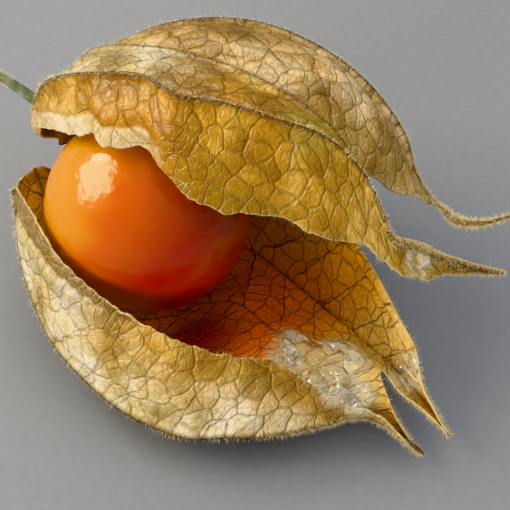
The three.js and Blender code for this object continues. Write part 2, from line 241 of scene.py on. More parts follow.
# The free margins of the lobes, from a notch towards a tip.
MARGINS = {
    "front_upper": [
        (19.9, 6.1, 18.8), (22.4, 4.9, 17.6), (23.6, 5.7, 16.8), (25.1, 6.8, 15.4),
        (27.5, 8.8, 13.9)],
    "top_front": [
        (17.7, 9.1, 18), (18.7, 9.5, 17), (19.7, 10.3, 16.3), (20.7, 11.3, 15.6),
        (21.6, 11.6, 14.9), (24.4, 10, 15.8), (26.9, 10.2, 16.8)],
    "top_rear": [(17.5, 13.8, 13.8), (20.8, 12.7, 14.8), (24.6, 10.9, 16.5), (26.8, 10.9, 17.5)],
    "back_upper": [(14.2, 12, 11.4), (15.5, 9.8, 12.5)],
    "back_lower": [(15.8, 9.4, 8.6), (15.6, 8.4, 10.6)],
    "under_back": [
        (18.1, 9, 6.6), (23, 6.1, 6.2), (26.1, 4.4, 5.2), (28, 2.4, 4.2), (29.4, 1.8, 3.4)],
    "under_front": [(26.2, 0.5, 3.6), (28.2, 0.6, 3), (30.4, 0.4, 2.5)],
    "low_back": [(25.5, -0.1, 4), (27.1, -0.9, 3.4), (28.8, -1.5, 2.7)],
}
# The torn edges, from the stalk end to the tips: of the flap over the berry and of the cup
# that it lies in.
TORN_FLAP = [
    (-11.1, -1.5, 15), (-7.3, -2.7, 17.6), (-4.5, -3.3, 19.6), (-3.6, -3, 20.4),
    (-2.3, -3.9, 20.7), (-0.9, -3.9, 21), (1.8, -2.5, 21.4), (3.8, -3.3, 21.2),
    (7.9, -4.1, 20.6), (9.4, -3.6, 20.2), (11.7, -2.3, 19.6), (13.9, -0.4, 19.3),
    (17.1, 0.4, 18.3), (19.4, 1.8, 17.6), (20.8, 3, 17), (22.1, 3.1, 15.8), (24, 3.8, 14.5),
    (25.5, 5.5, 13.8), (26.8, 7.4, 13.3),
]
TORN_CUP = [
    (-11.4, -4.7, 9.5), (-7.8, -6.9, 11.6), (-5.3, -8.5, 12.2), (-2.4, -9.9, 12.1),
    (2.7, -10.7, 11.3), (7.7, -10.4, 10.4), (12, -9.1, 9.6), (15.5, -6.9, 8.6), (17.1, -5.4, 8),
    (20, -4.8, 7), (23.7, -3.8, 5.2), (26.7, -2.6, 3.9), (28.6, -2.6, 3.1),
]
# The way across each tip, towards the margin that comes first.
TIP_SIDES = {
    "front": (0.1, 0.25, 0.96),
    "top": (0.2, -0.5, -0.84),
    "back": (0.6, 0.3, 0.74),
    "under": (0.2, 0.9, 0.38),
    "low": (-0.2, -0.6, 0.77),
}


def unit(v):
    """Vectors of the same direction and of length 1."""
    return v / np.maximum(np.linalg.norm(v, axis=-1, keepdims=True), 1e-9)


def lengths_along(line):
    """The distance along a line of points from its start to each of them."""
    return np.concatenate([[0], np.cumsum(np.linalg.norm(np.diff(line, axis=0), axis=1))])


def spaced(points, steps):
    """Evenly spaced points along a smooth curve through the given ones: a centripetal
    Catmull-Rom spline, worked out as a pyramid of straight blends."""
    p = np.array([np.asarray(q, float) for q in points])
    p = np.vstack([2 * p[0] - p[1], p, 2 * p[-1] - p[-2]])
    dense = []
    for i in range(1, len(p) - 2):
        four = p[i - 1:i + 3]
        gaps = np.sqrt(np.linalg.norm(np.diff(four, axis=0), axis=1))
        knots = np.concatenate([[0], np.cumsum(gaps)])
        t = np.linspace(knots[1], knots[2], 40, endpoint=False)[:, None]

        def between(a, b, ka, kb):
            return (kb - t) / (kb - ka) * a + (t - ka) / (kb - ka) * b

        a1 = between(four[0], four[1], knots[0], knots[1])
        a2 = between(four[1], four[2], knots[1], knots[2])
        a3 = between(four[2], four[3], knots[2], knots[3])
        b1 = between(a1, a2, knots[0], knots[2])
        b2 = between(a2, a3, knots[1], knots[3])
        dense.append(between(b1, b2, knots[1], knots[2]))
    dense = np.vstack([*dense, p[-2:-1]])
    length = lengths_along(dense)
    at = np.linspace(0, length[-1], steps + 1)
    return np.stack([np.interp(at, length, dense[:, k]) for k in range(3)], axis=1)


def beside_tip(keel, side):
    """Where a margin ends, just to one side of the tip."""
    across = np.array(TIP_SIDES[keel])
    return np.array(KEELS[keel][-1]) + side * TIP_HALF_WIDTH * across / np.linalg.norm(across)


def rib_then_margin(rib, margin, keel, side):
    """A rib down to its notch and from there the margin of one lobe, and the rib's share."""
    share, line = RIBS[rib]
    notch_row = round(ROWS * share)
    edge = [line[-1], *MARGINS[margin], beside_tip(keel, side)]
    return np.vstack([spaced(line, notch_row), spaced(edge, ROWS - notch_row)[1:]]), share


TOOTH = 0.16  # mm, the depth of a tooth on the torn edges


def torn(points, toward, seed):
    """A torn edge: the line with fine teeth in and out of the sheet, and none at its ends."""
    line = spaced(points, ROWS)
    draw = np.random.default_rng(seed)
    teeth = np.convolve(draw.normal(size=ROWS + 3), (0.3, 0.5, 0.2), mode="valid")
    grown = np.minimum(1, np.linspace(0, 8, ROWS + 1))
    teeth *= TOOTH * grown * grown[::-1]
    return line + unit(toward - line) * teeth[:, None]


keel_lines = {name: spaced(points, ROWS) for name, points in KEELS.items()}
torn_flap = torn([*TORN_FLAP, beside_tip("front", -1)], keel_lines["front"], seed=4)
torn_cup = torn([*TORN_CUP, beside_tip("low", 1)], keel_lines["low"], seed=9)

# Keel, whether the outer line comes before it going round from the flap over the top to the
# cup, crown over width, outer line, and the share of it that is a rib.
HALF_LOBES = [
    ("front", True, 0.1, torn_flap, 0),
    ("front", False, 0.06, *rib_then_margin("front_top", "front_upper", "front", 1)),
    ("top", True, 0.12, *rib_then_margin("front_top", "top_front", "top", 1)),
    ("top", False, 0.12, *rib_then_margin("top_back", "top_rear", "top", -1)),
    ("back", True, 0.1, *rib_then_margin("top_back", "back_upper", "back", 1)),
    ("back", False, 0.1, *rib_then_margin("back_under", "back_lower", "back", -1)),
    ("under", True, 0.08, *rib_then_margin("back_under", "under_back", "under", 1)),
    ("under", False, 0.03, *rib_then_margin("under_low", "under_front", "under", -1)),
    ("low", True, 0.04, *rib_then_margin("under_low", "low_back", "low", -1)),
    ("low", False, 0.14, torn_cup, 0),
]
PATTERN_SHIFT = 97.3  # mm between the vein patterns of two half lobes
FAR = 5  # mm, for a place with no rib or no free margin near it
NARROW_LOBE = 2  # mm, the width below which ridges get lower with the lobe
KEEL_HEIGHT, KEEL_SPREAD = 0.5, 0.34
RIB_HEIGHT, RIB_SPREAD = 0.28, 0.3

# How golden each half lobe is from the stalk to the tip; where it isn't, it is pale straw.
GOLD = [
    ((0, 0.2, 0.4, 1), (0.9, 0.95, 1, 0.9)),
    ((0, 0.28, 0.4, 1), (0, 0.08, 1, 0.9)),
    ((0, 0.5, 1), (0.8, 0.65, 0.6)),
    ((0, 0.5, 1), (0.65, 0.6, 0.55)),
    ((0, 1), (0.4, 0.5)),
    ((0, 1), (0.4, 0.5)),
    ((0, 1), (0.45, 0.6)),
    ((0, 1), (0.4, 0.6)),
    ((0, 0.7, 1), (0.1, 0.1, 0.3)),
    ((0, 0.7, 1), (0, 0.05, 0.7)),
]

# What sets single half lobes apart, by their place in the list above. The torn lip of the cup
# is rounded at the stalk end: its height over its width.
LIP_BULGE = {7: 0.16, 8: 0.18}
LIP_REACH = 0.07
# The halves of the low lobe lie nearly face to face near its tip.
PINCHED = (8, 9)
PINCH_DEPTH, PINCH_WIDTH, PINCH_FROM = 0.6, 0.5, 0.64
# The flap has a pale band along its torn edge, where it has curled.
CURLED_EDGE = 0
CURL_WIDTH, CURL_DEPTH, CURL_END = 1.7, 0.22, 0.38
# The low lobe is creased along its torn rim, and the crease runs out to the rim half way. A
# golden bloom follows it. The strip between the crease and the rim is dull brown, and a band just
# under the crease is darkened as painted shade.
FOLDED_RIM = 9
FOLD_WIDTH, FOLD_DEPTH, FOLD_END = 2.2, 0.3, 0.46
BLOOM = ((0, 0.28, 0.4, 0.5, 1), (0, 0, 0.8, 0.95, 0.7))
# The lobe under the berry has a margin that is slightly rolled.
ROLLED_MARGIN = 6
ROLL_FROM, ROLL_END = 0.6, 0.92


def ramp(value, start, slope):
    """0 before the start and 1 where the slope has brought it there, or back for a fall."""
    return np.clip((value - start) * slope, 0, 1)


def hump(distance, spread):
    """A smooth hump: 1 at no distance, and nearly gone at twice the spread."""
    return np.exp(-((distance / spread) ** 2))


def drawn_in(across):
    """Columns set closer together at the keel and at the outer line, where the ridges are."""
    return across - 0.35 * np.sin(2 * np.pi * across) / (2 * np.pi)


def half_lobe_surface(number, across, along):
    """Points of a half lobe in mm, with its pattern places, its distances and its marks."""
    keel_name, before, crown, outer, rib_share = HALF_LOBES[number]
    keel = keel_lines[keel_name]
    row = np.rint(along * ROWS).astype(int)
    w = drawn_in(across)
    forward = keel[np.minimum(row + 2, ROWS)] - keel[np.maximum(row - 2, 0)]
    sideways = outer[row] - keel[row]
    outward = unit(np.cross(forward, sideways))
    if before:
        outward = -outward
    width = np.linalg.norm(sideways, axis=1)
    lateral = width * w
    to_outer = width - lateral

    lip = LIP_BULGE.get(number, 0) * hump(along, LIP_REACH)
    arch = (crown * np.minimum(1, along * 12) + lip) * width * np.sin(np.pi * w)
    if number in PINCHED:
        bulge = lateral * np.exp(1 - lateral / PINCH_WIDTH)
        arch = arch + PINCH_DEPTH * bulge * ramp(along, PINCH_FROM, 10)
    point = keel[row] + sideways * w[:, None] + outward * arch[:, None]

    narrow = np.minimum(1, width / NARROW_LOBE)
    joined = ramp(along, rib_share, -25) if rib_share else np.zeros(len(along))
    ridge = KEEL_HEIGHT * hump(lateral, KEEL_SPREAD) * narrow
    ridge = ridge + RIB_HEIGHT * hump(to_outer, RIB_SPREAD) * joined * narrow
    fade = ramp(to_outer, 0, 2) * np.clip(lateral / 0.45, 0, 1) * np.minimum(1, along * 10)
    gold = np.interp(along, *GOLD[number])
    strip = roll = np.zeros(len(along))
    if number == CURLED_EDGE:
        curl = ramp(along, CURL_END, -15)
        gold = gold * (1 - 0.8 * curl * np.clip((CURL_WIDTH - to_outer) / 0.14, 0, 1))
        crease = CURL_DEPTH * curl * hump(to_outer - CURL_WIDTH, 0.3)
        ridge = ridge - crease * ramp(lateral, 0.6, 1)
    if number == FOLDED_RIM:
        crease = FOLD_WIDTH * np.clip(1 - along / FOLD_END, 0, 1) ** 0.7
        present = ramp(along, FOLD_END, -20)
        ridge = ridge - FOLD_DEPTH * hump(to_outer - crease, 0.35) * present
        # Painted shade: a band just under the crease is darkened.
        shaded = 0.6 * hump(to_outer - crease - 0.9, 0.9) * ramp(along, 0, 4)
        strip = np.where(to_outer < crease, 1, shaded) * present
        bloom = np.interp(along, *BLOOM) * np.clip(1.3 - to_outer / 4.5, 0, 1)
        gold = np.maximum(gold, bloom)
    if number == ROLLED_MARGIN:
        present = ramp(along, ROLL_FROM, 12) * ramp(along, ROLL_END, -12)
        ridge = ridge - 0.4 * hump(to_outer - 0.6, 0.5) * present
        ridge = ridge + 0.25 * hump(to_outer - 1.6, 0.35) * present
        roll = hump(to_outer - 1.55, 0.22) * present

    to_rib = np.minimum(FAR, to_outer + FAR * (1 - joined))
    to_margin = np.minimum(FAR, to_outer + FAR * joined)
    net = np.stack([along * lengths_along(keel)[-1] + PATTERN_SHIFT * number, lateral], axis=1)
    edge = np.stack([to_rib, to_margin], axis=1)
    return point, net, edge, {
        "ridge": ridge, "fade": fade, "gold": gold, "strip": strip, "roll": roll,
        "tip": np.clip((along - 0.84) / 0.16, 0, 1), "margin": to_margin}


def vertex_values(mesh, kind="co"):
    """The place or the normal of every vertex, as rows of three numbers."""
    values = np.empty(len(mesh.vertices) * 3)
    mesh.vertices.foreach_get(kind, values)
    return values.reshape(-1, 3)


def shape_sheet(mesh, point, net, edge, marks):
    """Moves a flat grid's vertices to their points and writes down what the veins, the colours
    and the hairs are laid out by."""
    mesh.vertices.foreach_set("co", (point * MM).ravel())
    corners = np.empty(len(mesh.loops), int)
    mesh.loops.foreach_get("vertex_index", corners)
    mesh.uv_layers.remove(mesh.uv_layers[0])
    for name, values in (("net", net), ("edge", edge)):
        mesh.uv_layers.new(name=name).data.foreach_set("uv", values[corners].ravel())
    net_point = mesh.attributes.new("net_point", "FLOAT_VECTOR", "POINT")
    net_point.data.foreach_set("vector", np.column_stack([net, np.zeros(len(net))]).ravel())
    for name, values in marks.items():
        mesh.attributes.new(name, "FLOAT", "POINT").data.foreach_set("value", values)


half_lobes = []
for number in range(len(HALF_LOBES)):
    select_none()
    bpy.ops.mesh.primitive_grid_add(x_subdivisions=COLUMNS, y_subdivisions=ROWS, size=1)
    grid = bpy.context.object
    across, along = (vertex_values(grid.data)[:, :2] + 0.5).T
    shape_sheet(grid.data, *half_lobe_surface(number, across, along))
    if not HALF_LOBES[number][1]:
        grid.data.flip_normals()
    half_lobes.append(grid)

# The underside of the stalk end, from the flap round below the stalk to the back lobe.
CAP_STEPS = 16
CAP_LENGTH = 9
CAP_TURN = (20, 210)  # degrees round the collar: where it starts and how far it goes
UNDERSIDE_BULGE = 0.8
select_none()
bpy.ops.mesh.primitive_grid_add(x_subdivisions=COLUMNS, y_subdivisions=CAP_STEPS, size=1)
cap = bpy.context.object
across, share = (vertex_values(cap.data)[:, :2] + 0.5).T
w = drawn_in(across)[:, None]
ring = np.array([collar(CAP_TURN[0] - CAP_TURN[1] * v) for v in share])
outward = unit(ring - COLLAR_CENTRE)
bulge = outward * UNDERSIDE_BULGE * np.sin(np.pi * share)[:, None]
rim_end = np.array(RIBS["back_under"][1][0])
rim = torn_flap[0] + (rim_end - torn_flap[0]) * share[:, None] + bulge
reach = np.linalg.norm(rim - ring, axis=1)
level = np.ones(len(share))
shape_sheet(
    cap.data,
    ring + (rim - ring) * w + bulge * np.sin(np.pi * w),
    np.stack([share * CAP_LENGTH + PATTERN_SHIFT * 10, 1.5 + w[:, 0] * reach], axis=1),
    np.stack([FAR * level, np.minimum(FAR, (1 - w[:, 0]) * reach)], axis=1),
    {"fade": 0.5 * level, "gold": 0.5 * level, "margin": FAR * level}
    | dict.fromkeys(("ridge", "strip", "roll", "tip"), 0 * level))
cap.data.flip_normals()
half_lobes.append(cap)

select_none()
for grid in half_lobes:
    grid.select_set(True)
bpy.context.view_layer.objects.active = half_lobes[0]
bpy.ops.object.join()
husk = bpy.context.object
husk.name = "husk_paper"
bpy.ops.object.mode_set(mode="EDIT")
bpy.ops.mesh.select_all(action="SELECT")
bpy.ops.mesh.remove_doubles(threshold=0.00002)
bpy.ops.object.mode_set(mode="OBJECT")

VEIN_PITCH = 4.2  # mm along the keel between side veins
CELL = 1.8  # mm across a mesh of the net
FINE_CELL = 0.7
WANDERS = 0.28  # per mm, how often a vein strays
WANDER_WIDTH = 1.5
SWELLS = 0.16  # per mm, how often tissue swells
SWELL_HEIGHT = 0.25


def vein_pattern(tree, place):
    """Distances in mm to the nearest side vein, net vein and fine vein at a (along, out) place,
    and a tone of 0 to 1 that each mesh of the net has for itself."""
    stray = add(tree, "ShaderNodeTexNoise", {"Vector": place, "Scale": WANDERS, "Detail": 2},
                noise_dimensions="2D")
    shift = add(tree, "ShaderNodeVectorMath", {0: stray.outputs["Color"], 1: (0.5, 0.5, 0.5)},
                operation="SUBTRACT")
    wide = add(tree, "ShaderNodeVectorMath", {0: shift.outputs[0], "Scale": WANDER_WIDTH},
               operation="SCALE")
    bent = add(tree, "ShaderNodeVectorMath", {0: place, 1: wide.outputs[0]})
    parts = add(tree, "ShaderNodeSeparateXYZ", {0: bent.outputs[0]})
    slant = add(tree, "ShaderNodeMath", {0: parts.outputs["Y"], 1: 0.75}, operation="MULTIPLY")
    along = add(tree, "ShaderNodeMath", {0: parts.outputs["X"], 1: slant.outputs[0]},
                operation="SUBTRACT")
    folded = add(tree, "ShaderNodeMath", {0: along.outputs[0], 1: VEIN_PITCH / 2},
                 operation="PINGPONG")
    distances = [folded.outputs[0]]
    for size in (CELL, FINE_CELL):
        cells = add(tree, "ShaderNodeTexVoronoi", {
            "Vector": bent.outputs[0], "Scale": 1 / size, "Randomness": 0.9},
            voronoi_dimensions="2D", feature="DISTANCE_TO_EDGE")
        distances.append(add(tree, "ShaderNodeMath", {
            0: cells.outputs["Distance"], 1: size}, operation="MULTIPLY").outputs[0])
    meshes = add(tree, "ShaderNodeTexVoronoi", {
        "Vector": bent.outputs[0], "Scale": 1 / CELL, "Randomness": 0.9},
        voronoi_dimensions="2D")
    mesh_tone = add(tree, "ShaderNodeSeparateXYZ", {0: meshes.outputs["Color"]})
    return *distances, mesh_tone.outputs[0]


def puffed(tree, veins):
    """The height of tissue that puffs up between its veins. Each vein gives its distance, the
    reach of the slope beside it, and the heights on the vein and beyond the slope."""
    height = 0
    for distance, reach, low, high in veins:
        slope = add(tree, "ShaderNodeMapRange", {
            "Value": distance, "From Min": 0, "From Max": reach, "To Min": low, "To Max": high},
            interpolation_type="SMOOTHSTEP")
        height = add(tree, "ShaderNodeMath", {0: slope.outputs[0], 1: height}).outputs[0]
    return height


# Spots where the inner skin has crumpled and shines like silver: centre and reach in mm.
SILVERED = (
    ((16.8, -2.4, 5.2), 3.0), ((19.4, -2.6, 5.1), 3.0), ((21.8, -2.4, 4.9), 3.0),
    ((23.8, -2.2, 4.6), 2.4), ((15.6, -0.4, 5.3), 2.2), ((19.6, 1.8, 4.9), 2.8),
    ((21.6, 0.9, 5.4), 2.0), ((25.8, 3.2, 3.6), 2.8), ((24.3, 5.9, 14.9), 1.9),
)
CREASE_PITCH = 1.9  # mm between two creases of the crumpled skin


def near(tree, place, centre_mm, full, none):
    """1 within the first distance in mm of a centre, falling to 0 at the second."""
    away = add(tree, "ShaderNodeVectorMath", {0: place, 1: tuple(c * MM for c in centre_mm)},
               operation="DISTANCE")
    return add(tree, "ShaderNodeMapRange", {
        "Value": away.outputs["Value"], "From Min": full * MM, "From Max": none * MM,
        "To Min": 1, "To Max": 0}, interpolation_type="SMOOTHSTEP").outputs[0]


def silvered(tree, place):
    """How far a place lies inside the crumpled silvery spots."""
    most = 0
    for centre, reach in SILVERED:
        spot = near(tree, place, centre, reach * 0.3, reach)
        most = add(tree, "ShaderNodeMath", {0: spot, 1: most}, operation="MAXIMUM").outputs[0]
    return most


def creased(tree, place):
    """Sharp creases that run along the lobes: 0 in a crease and up to 0.5 between them."""
    turned = add(tree, "ShaderNodeVectorRotate", {"Vector": place, "Angle": 0.2},
                 rotation_type="Z_AXIS")
    drawn = add(tree, "ShaderNodeVectorMath", {0: turned.outputs[0], 1: (0.4, 1.0, 1.0)},
                operation="MULTIPLY")
    folds = add(tree, "ShaderNodeTexNoise", {
        "Vector": drawn.outputs[0], "Scale": 1 / (CREASE_PITCH * MM), "Detail": 3,
        "Roughness": 0.55, "Distortion": 1.2})
    from_crease = add(tree, "ShaderNodeMath", {0: folds.outputs["Fac"], 1: 0.5},
                      operation="SUBTRACT")
    return add(tree, "ShaderNodeMath", {0: from_crease.outputs[0]},
               operation="ABSOLUTE").outputs[0]


# The relief, in mm along the normal: puffed meshes, slow swells, ridges and crumpled spots.
relief = bpy.data.node_groups.new("puffed net", "GeometryNodeTree")
relief.interface.new_socket("Geometry", in_out="INPUT", socket_type="NodeSocketGeometry")
relief.interface.new_socket("Geometry", in_out="OUTPUT", socket_type="NodeSocketGeometry")
entry = add(relief, "NodeGroupInput")
net_place = add(relief, "GeometryNodeInputNamedAttribute", {"Name": "net_point"},
                data_type="FLOAT_VECTOR")
fade_in, ridges = (
    add(relief, "GeometryNodeInputNamedAttribute", {"Name": name}, data_type="FLOAT")
    for name in ("fade", "ridge"))
side, net_vein, _, _ = vein_pattern(relief, net_place.outputs[0])
swell = add(relief, "ShaderNodeTexNoise", {
    "Vector": net_place.outputs[0], "Scale": SWELLS, "Detail": 1})
swell_height = add(relief, "ShaderNodeMapRange", {
    "Value": swell.outputs["Fac"], "From Min": 0.2, "From Max": 0.8,
    "To Min": -SWELL_HEIGHT, "To Max": SWELL_HEIGHT})
puff = add(relief, "ShaderNodeMath", {
    0: puffed(relief, ((side, 0.55, -0.08, 0.03), (net_vein, 0.4, -0.035, 0.03))),
    1: swell_height.outputs[0]})
puff_faded = add(relief, "ShaderNodeMath", {0: puff.outputs[0], 1: fade_in.outputs[0]},
                 operation="MULTIPLY")
spot = add(relief, "GeometryNodeInputPosition")
crease_height = add(relief, "ShaderNodeMapRange", {
    "Value": creased(relief, spot.outputs[0]), "From Min": 0, "From Max": 0.16,
    "To Min": -0.4, "To Max": 0.45})
crumpled = add(relief, "ShaderNodeMath", {
    0: crease_height.outputs[0], 1: silvered(relief, spot.outputs[0])}, operation="MULTIPLY")
total = add(relief, "ShaderNodeMath", {0: puff_faded.outputs[0], 1: ridges.outputs[0]})
total = add(relief, "ShaderNodeMath", {0: total.outputs[0], 1: crumpled.outputs[0]})
lowered = add(relief, "ShaderNodeMath", {0: total.outputs[0], 1: SKIN_DEPTH},
              operation="SUBTRACT")
metres = add(relief, "ShaderNodeMath", {0: lowered.outputs[0], 1: MM}, operation="MULTIPLY")
normal = add(relief, "GeometryNodeInputNormal")
offset = add(relief, "ShaderNodeVectorMath", {0: normal.outputs[0], "Scale": metres.outputs[0]},
             operation="SCALE")
moved = add(relief, "GeometryNodeSetPosition", {
    "Geometry": entry.outputs[0], "Offset": offset.outputs[0]})
add(relief, "NodeGroupOutput", {0: moved.outputs[0]})
husk.modifiers.new("puffed net", "NODES").node_group = relief
bpy.ops.object.modifier_apply(modifier="puffed net")

wall = husk.modifiers.new("paper thickness", "SOLIDIFY")
wall.thickness = PAPER * MM
wall.offset = -1
wall.use_even_offset = False
wall.material_offset = 1
wall.material_offset_rim = 0

# Tones of straw and of gold from dark to light, on the outer face and on the inner one.
OUTER_TONES = (("#A88E50", "#D8C892", "#FFFBE6"), ("#8A5C10", "#B28422", "#DCB85A"))
INNER_TONES = (("#C88318", "#E0A230", "#F2C45A"), ("#CF8E24", "#E6AC3C", "#F6CE6C"))
# The fine veins, the net and the side veins: half width in mm, strength and colour.
OUTER_VEINS = ((0.07, 0.35, "#B08A40"), (0.1, 0.4, "#9A7030"), (0.15, 0.65, "#7E5220"))
INNER_VEINS = ((0.07, 0.35, "#8A4E14"), (0.1, 0.65, "#74340C"), (0.15, 0.85, "#5E220A"))
BLOTCH = 5.882  # mm between two pale blotches
SPECK = 0.3846  # mm, coarser than the real specks, so that they show
# Painted light from the berry: its reflected orange light is painted on the inner face round it,
# with deep red painted shade just under it, and its light is painted as a glow on the flap over
# it. The floor of the husk is pale towards the tips, and the lobe behind the flap is thin and
# green.
PALE_CENTRE = (21.0, 1.5, 5.0)
PAINTED_BOUNCE_CENTRE = (8.0, 0.5, 3.0)
PAINTED_SHADE_CENTRE = (8.0, -4.0, 4.0)
PAINTED_GLOW_CENTRE = (0.5, -2.2, 20.5)
THIN_CENTRE = (12.5, 7.6, 22.2)


def stained(tree, colour, where, strength, hue):
    """The colour with a hue over it, at this strength where the pattern is 1."""
    cover = add(tree, "ShaderNodeMath", {0: where, 1: strength}, operation="MULTIPLY")
    return add(tree, "ShaderNodeMixRGB", {
        "Fac": cover.outputs[0], "Color1": colour, "Color2": hue}).outputs[0]


def lined(tree, colour, distance, reach, strength, hue):
    """The colour with a line of a hue over it, strongest in its middle and gone at its reach."""
    cover = add(tree, "ShaderNodeMapRange", {
        "Value": distance, "From Min": 0, "From Max": reach, "To Min": strength, "To Max": 0},
        interpolation_type="SMOOTHSTEP")
    return add(tree, "ShaderNodeMixRGB", {
        "Fac": cover.outputs[0], "Color1": colour, "Color2": hue}).outputs[0]


def husk_material(name, inside):
    """Dry leaf tissue, grown thin as paper: satin, mottled from straw to gold and darker along
    its veins. Light shows through it, and its crumpled spots glint like foil, with painted
    highlights on their creases. The inner face has the berry's light and shade painted round it,
    the outer face its painted glow, and the creased rim a band of painted shade."""
    material, tree, output = new_material(name)
    solid = add(tree, "ShaderNodeTexCoord")
    place = solid.outputs["Object"]
    net = add(tree, "ShaderNodeUVMap", uv_map="net")
    edge = add(tree, "ShaderNodeUVMap", uv_map="edge")
    to_keel = add(tree, "ShaderNodeSeparateXYZ", {0: net.outputs[0]}).outputs["Y"]
    to_rib, to_margin = add(tree, "ShaderNodeSeparateXYZ", {0: edge.outputs[0]}).outputs[:2]
    side, net_vein, fine_vein, mesh_tone = vein_pattern(tree, net.outputs[0])
    gold, tip, roll_or_strip = (
        add(tree, "ShaderNodeAttribute", attribute_name=mark).outputs["Fac"]
        for mark in ("gold", "tip", "roll" if inside else "strip"))

    broad = add(tree, "ShaderNodeTexNoise", {
        "Vector": place, "Scale": 1 / (BLOTCH * MM), "Detail": 5, "Roughness": 0.62})
    palettes = []
    for dark, middle, light in INNER_TONES if inside else OUTER_TONES:
        tones = add(tree, "ShaderNodeValToRGB", {"Fac": broad.outputs["Fac"]})
        ramp_ends = tones.color_ramp.elements
        ramp_ends[0].position, ramp_ends[0].color = 0.35, linear(dark)
        ramp_ends[1].position, ramp_ends[1].color = 0.65, linear(light)
        ramp_ends.new(0.5).color = linear(middle)
        palettes.append(tones.outputs["Color"])
    colour = add(tree, "ShaderNodeMixRGB", {
        "Fac": gold, "Color1": palettes[0], "Color2": palettes[1]}).outputs[0]
    mesh_light = add(tree, "ShaderNodeMapRange", {
        "Value": mesh_tone, "To Min": 0.8, "To Max": 1.16})
    colour = add(tree, "ShaderNodeHueSaturation", {
        "Value": mesh_light.outputs[0], "Color": colour}).outputs[0]
    mottle = add(tree, "ShaderNodeTexNoise", {
        "Vector": place, "Scale": 1 / (SPECK * MM), "Detail": 3})
    speckle = add(tree, "ShaderNodeMapRange", {
        "Value": mottle.outputs["Fac"], "From Min": 0.56, "From Max": 0.7,
        "To Min": 0, "To Max": 0.35})
    colour = stained(tree, colour, speckle.outputs[0], 1, linear("#A87424"))

    if inside:
        stains = (
            (near(tree, place, PALE_CENTRE, 2.5, 8.5), 0.75, "#F2D68A"),
            (roll_or_strip, 0.7, "#8C5410"),
            # Painted reflected light of the berry, in two orange rings round it.
            (near(tree, place, PAINTED_BOUNCE_CENTRE, 7, 15), 1, "#FFB03A"),
            (near(tree, place, PAINTED_BOUNCE_CENTRE, 4.5, 12), 1, "#FF7420"),
            # Painted deep red shade beside the foot of the berry.
            (near(tree, place, PAINTED_SHADE_CENTRE, 1.5, 6), 1, "#9A1A08"),
        )
    else:
        # Painted glow: the berry's light showing through the flap over it.
        painted_glow = add(tree, "ShaderNodeMath", {
            0: near(tree, place, PAINTED_GLOW_CENTRE, 1.5, 6.5), 1: gold}, operation="MULTIPLY")
        stains = (
            (painted_glow.outputs[0], 0.5, "#BE6C14"),
            (near(tree, place, THIN_CENTRE, 0.8, 4.6), 0.6, "#BFB45E"),
            # The dull brown rim strip, and a band of painted shade under its crease.
            (roll_or_strip, 0.85, "#7C6038"),
        )
    for where, strength, hue in (*stains, (tip, 0.8, "#8C6826")):
        colour = stained(tree, colour, where, strength, linear(hue))

    # Veins on the outer face turn pale towards a free margin. Ribs and keels are brown, and the
    # margin itself is a pale thread.
    veins = zip((fine_vein, net_vein, side), INNER_VEINS if inside else OUTER_VEINS)
    for distance, (reach, strength, hue) in veins:
        line = linear(hue)
        if not inside:
            line = lined(tree, line, to_margin, 4.5, 0.6, linear("#E2C67E"))
        colour = lined(tree, colour, distance, reach, strength, line)
    for distance, reach, strength, hue in (
        (to_rib, 0.3, 0.75, "#6A4A26"),
        (to_keel, 0.4, 0.85, "#5E4128"),
        (to_margin, 0.16, 0.7, "#F0DDA8"),
    ):
        colour = lined(tree, colour, distance, reach, strength, linear(hue))

    zone = silvered(tree, place)
    folds = creased(tree, place)
    colour = stained(tree, colour, zone, 0.75, linear("#F0DCA2"))
    facets = add(tree, "ShaderNodeMapRange", {
        "Value": folds, "From Min": 0.025, "From Max": 0.09, "To Min": 0, "To Max": 0.9},
        interpolation_type="SMOOTHSTEP")
    # Painted highlights: the tops of the creases in the crumpled spots are painted near white,
    # and the same streaks also shine as foil.
    foil_and_painted_glints = add(tree, "ShaderNodeMath", {0: zone, 1: facets.outputs[0]}, operation="MULTIPLY")
    colour = stained(tree, colour, foil_and_painted_glints.outputs[0], 1, linear("#F8F2E2"))
    foil = add(tree, "ShaderNodeMath", {0: foil_and_painted_glints.outputs[0], 1: 0.35}, operation="MULTIPLY")
    gloss = add(tree, "ShaderNodeMapRange", {
        "Value": zone, "From Min": 0, "From Max": 0.8, "To Min": 0.27, "To Max": 0.14})

    grain = add(tree, "ShaderNodeMath", {0: mottle.outputs["Fac"], 1: 0.2}, operation="MULTIPLY")
    surface = add(tree, "ShaderNodeMath", {
        0: puffed(tree, ((fine_vein, 0.14, 0, 0.36), (net_vein, 0.2, 0, 1))),
        1: grain.outputs[0]})
    bump = add(tree, "ShaderNodeBump", {
        "Height": surface.outputs[0], "Strength": 0.9, "Distance": 0.14 * MM})
    crumple = add(tree, "ShaderNodeMath", {0: folds, 1: zone}, operation="MULTIPLY")
    wrinkles = add(tree, "ShaderNodeBump", {
        "Height": crumple.outputs[0], "Strength": 0.8, "Distance": 1.2 * MM,
        "Normal": bump.outputs[0]})
    skin = add(tree, "ShaderNodeBsdfPrincipled", {
        "Base Color": colour, "Roughness": gloss.outputs[0], "Metallic": foil.outputs[0],
        "Specular IOR Level": 0.55, "Coat Weight": 0.3, "Coat Roughness": 0.2,
        "Normal": wrinkles.outputs[0]})
    through = add(tree, "ShaderNodeBsdfTranslucent", {
        "Color": colour, "Normal": bump.outputs[0]})
    both = add(tree, "ShaderNodeMixShader", {
        "Fac": 0.38, 1: skin.outputs[0], 2: through.outputs[0]})
    tree.links.new(both.outputs[0], output.inputs[0])
    return material


